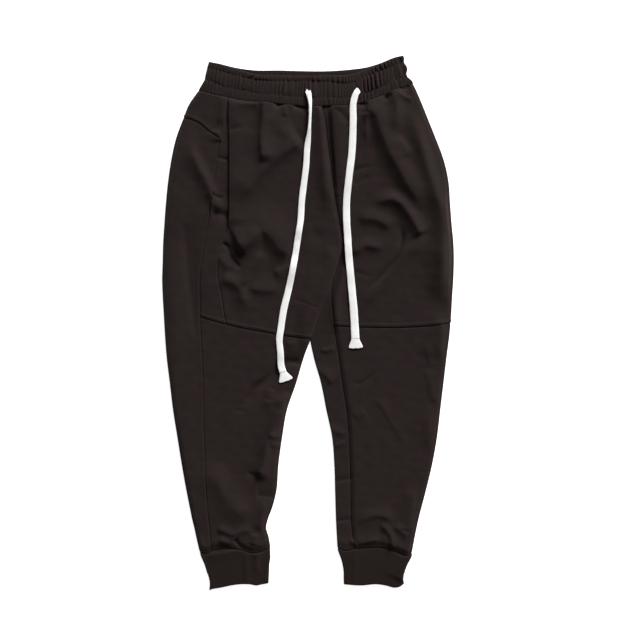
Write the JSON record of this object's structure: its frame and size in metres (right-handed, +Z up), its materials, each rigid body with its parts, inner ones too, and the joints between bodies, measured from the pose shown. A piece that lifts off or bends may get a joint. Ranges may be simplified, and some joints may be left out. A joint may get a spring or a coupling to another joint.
{
  "type": "joggers laid flat",
  "caption": "Dark joggers laid flat on a surface: gathered elastic waist, slanted seams, pocket edge, knee seams, plain cuffs and a pale flat drawcord.",
  "frame": {"origin": "middle of the laid garment's box, on the surface that it lies on", "axes": "+X to the wearer's left, +Y up the garment towards the waist, +Z up off the surface"},
  "size_m": [0.5342, 0.9783, 0.0138],
  "materials": {
    "cloth": "smooth dense jersey with a soft sheen",
    "gathered_band": "the same jersey gathered over elastic",
    "cuff_knit": "fine doubled knit",
    "cord": "matt flat knitted cord"
  },
  "bodies": {
    "root": {"waistband": "gathered_band", "right_front": "cloth", "right_side_front": "cloth", "right_front_lower": "cloth", "right_back": "cloth", "right_yoke": "cloth", "right_cuff": "cuff_knit", "left_front": "cloth", "left_side_front": "cloth", "left_front_lower": "cloth", "left_back": "cloth", "left_yoke": "cloth", "left_cuff": "cuff_knit", "drawcord_right": "cord", "drawcord_right_end": "cord", "drawcord_left": "cord", "drawcord_left_end": "cord"}
  },
  "joints": []
}
